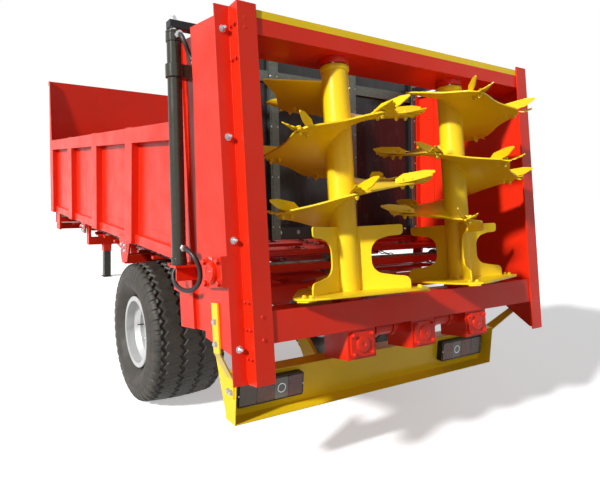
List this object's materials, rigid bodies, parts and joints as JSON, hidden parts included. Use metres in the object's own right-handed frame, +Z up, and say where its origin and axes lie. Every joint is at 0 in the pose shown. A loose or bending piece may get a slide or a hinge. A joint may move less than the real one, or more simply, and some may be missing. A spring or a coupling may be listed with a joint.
{
  "type": "single-axle manure spreader with upright beaters",
  "caption": "Towed farm trailer with a chain-floor load box, a lifting rear door and upright helical beaters in a leaning rear frame, parked on its drawbar jack.",
  "frame": {"origin": "on the ground, under the middle of the machine's overall length and width", "axes": "+X to the machine's right, +Y in the direction of travel, towards the towing eye, +Z up"},
  "size_m": [2.262, 6.7134, 2.41],
  "materials": {
    "bare_steel": "bare steel",
    "chromed_rod": "hard chrome",
    "dark_steel": "dark enamel",
    "hose_rubber": "rubber hose",
    "lamp_plastic": "clear lens",
    "ram_paint": "satin enamel",
    "red_paint": "gloss enamel",
    "rim_silver": "silver enamel",
    "shade_red_paint": "enamel",
    "tyre_rubber": "moulded rubber",
    "yellow_paint": "gloss enamel",
    "zinc_steel": "zinc plated"
  },
  "bodies": {
    "spreader_frame": {"apron": "red_paint", "axle": "dark_steel", "bumper": "yellow_paint", "bumper_arm_left": "yellow_paint", "bumper_arm_right": "yellow_paint", "chassis": "red_paint", "conveyor_chains": "bare_steel", "conveyor_shafts": "bare_steel", "conveyor_slats": "shade_red_paint", "door_guide_left": "red_paint", "door_guide_right": "red_paint", "drawbar": "red_paint", "floor": "red_paint", "front_board": "red_paint", "gearboxes": "red_paint", "hose_foot_left": "hose_rubber", "hose_foot_right": "hose_rubber", "hose_top_left": "hose_rubber", "hose_top_right": "hose_rubber", "jack_sleeve": "red_paint", "ram_barrel_left": "ram_paint", "ram_barrel_right": "ram_paint", "ram_clamp_left": "zinc_steel", "ram_clamp_right": "zinc_steel", "rear_post_left": "red_paint", "rear_post_right": "red_paint", "side_left": "red_paint", "side_right": "red_paint", "tail_lamp_left": "lamp_plastic", "tail_lamp_right": "lamp_plastic", "top_beam": "red_paint", "top_bearings": "red_paint", "top_cover": "yellow_paint", "towing_eye": "bare_steel"},
    "wheel_left": {"tyre_left": "tyre_rubber", "rim_left": "rim_silver"},
    "wheel_right": {"tyre_right": "tyre_rubber", "rim_right": "rim_silver"},
    "beater_left": {"beater_tube_left": "yellow_paint", "beater_flight_left": "yellow_paint", "beater_base_left": "yellow_paint"},
    "beater_right": {"beater_tube_right": "yellow_paint", "beater_flight_right": "yellow_paint", "beater_base_right": "yellow_paint"},
    "door": {"door_arm_left": "dark_steel", "door_arm_right": "dark_steel", "door_beam": "dark_steel", "door_panel": "dark_steel", "door_ribs": "zinc_steel", "ram_rod_left": "chromed_rod", "ram_rod_right": "chromed_rod"},
    "jack": {"jack_leg": "ram_paint"},
    "drive_line": {"drive_shaft": "bare_steel"}
  },
  "joints": [
    {"name": "wheel_left_spin", "type": "hinge", "parent": "spreader_frame", "child": "wheel_left", "pos_m": [-0.75, -1.50532, 0.466], "axis": [1, 0, 0], "continuous": true},
    {"name": "wheel_right_spin", "type": "hinge", "parent": "spreader_frame", "child": "wheel_right", "pos_m": [0.75, -1.50532, 0.466], "axis": [1, 0, 0], "continuous": true},
    {"name": "beater_left_spin", "type": "hinge", "parent": "spreader_frame", "child": "beater_left", "pos_m": [-0.415, -2.97185, 1.25521], "axis": [0, 0.1685, 0.9857], "continuous": true},
    {"name": "beater_right_spin", "type": "hinge", "parent": "spreader_frame", "child": "beater_right", "pos_m": [0.415, -2.97185, 1.25521], "axis": [0, 0.1685, 0.9857], "continuous": true},
    {"name": "drive_shaft_spin", "type": "hinge", "parent": "spreader_frame", "child": "drive_line", "pos_m": [0, -0.68532, 0.802], "axis": [0, 1, 0], "continuous": true},
    {"name": "door_lift", "type": "slide", "parent": "spreader_frame", "child": "door", "axis": [0, 0.1019, 0.9948], "range_m": [0, 0.85]},
    {"name": "jack_slide", "type": "slide", "parent": "spreader_frame", "child": "jack", "axis": [0, 0, 1], "range_m": [0, 0.3]}
  ],
  "couplings": [
    {"joint": "beater_right_spin", "follows": "beater_left_spin", "ratio": -1},
    {"joint": "drive_shaft_spin", "follows": "beater_left_spin", "ratio": 1.5}
  ]
}
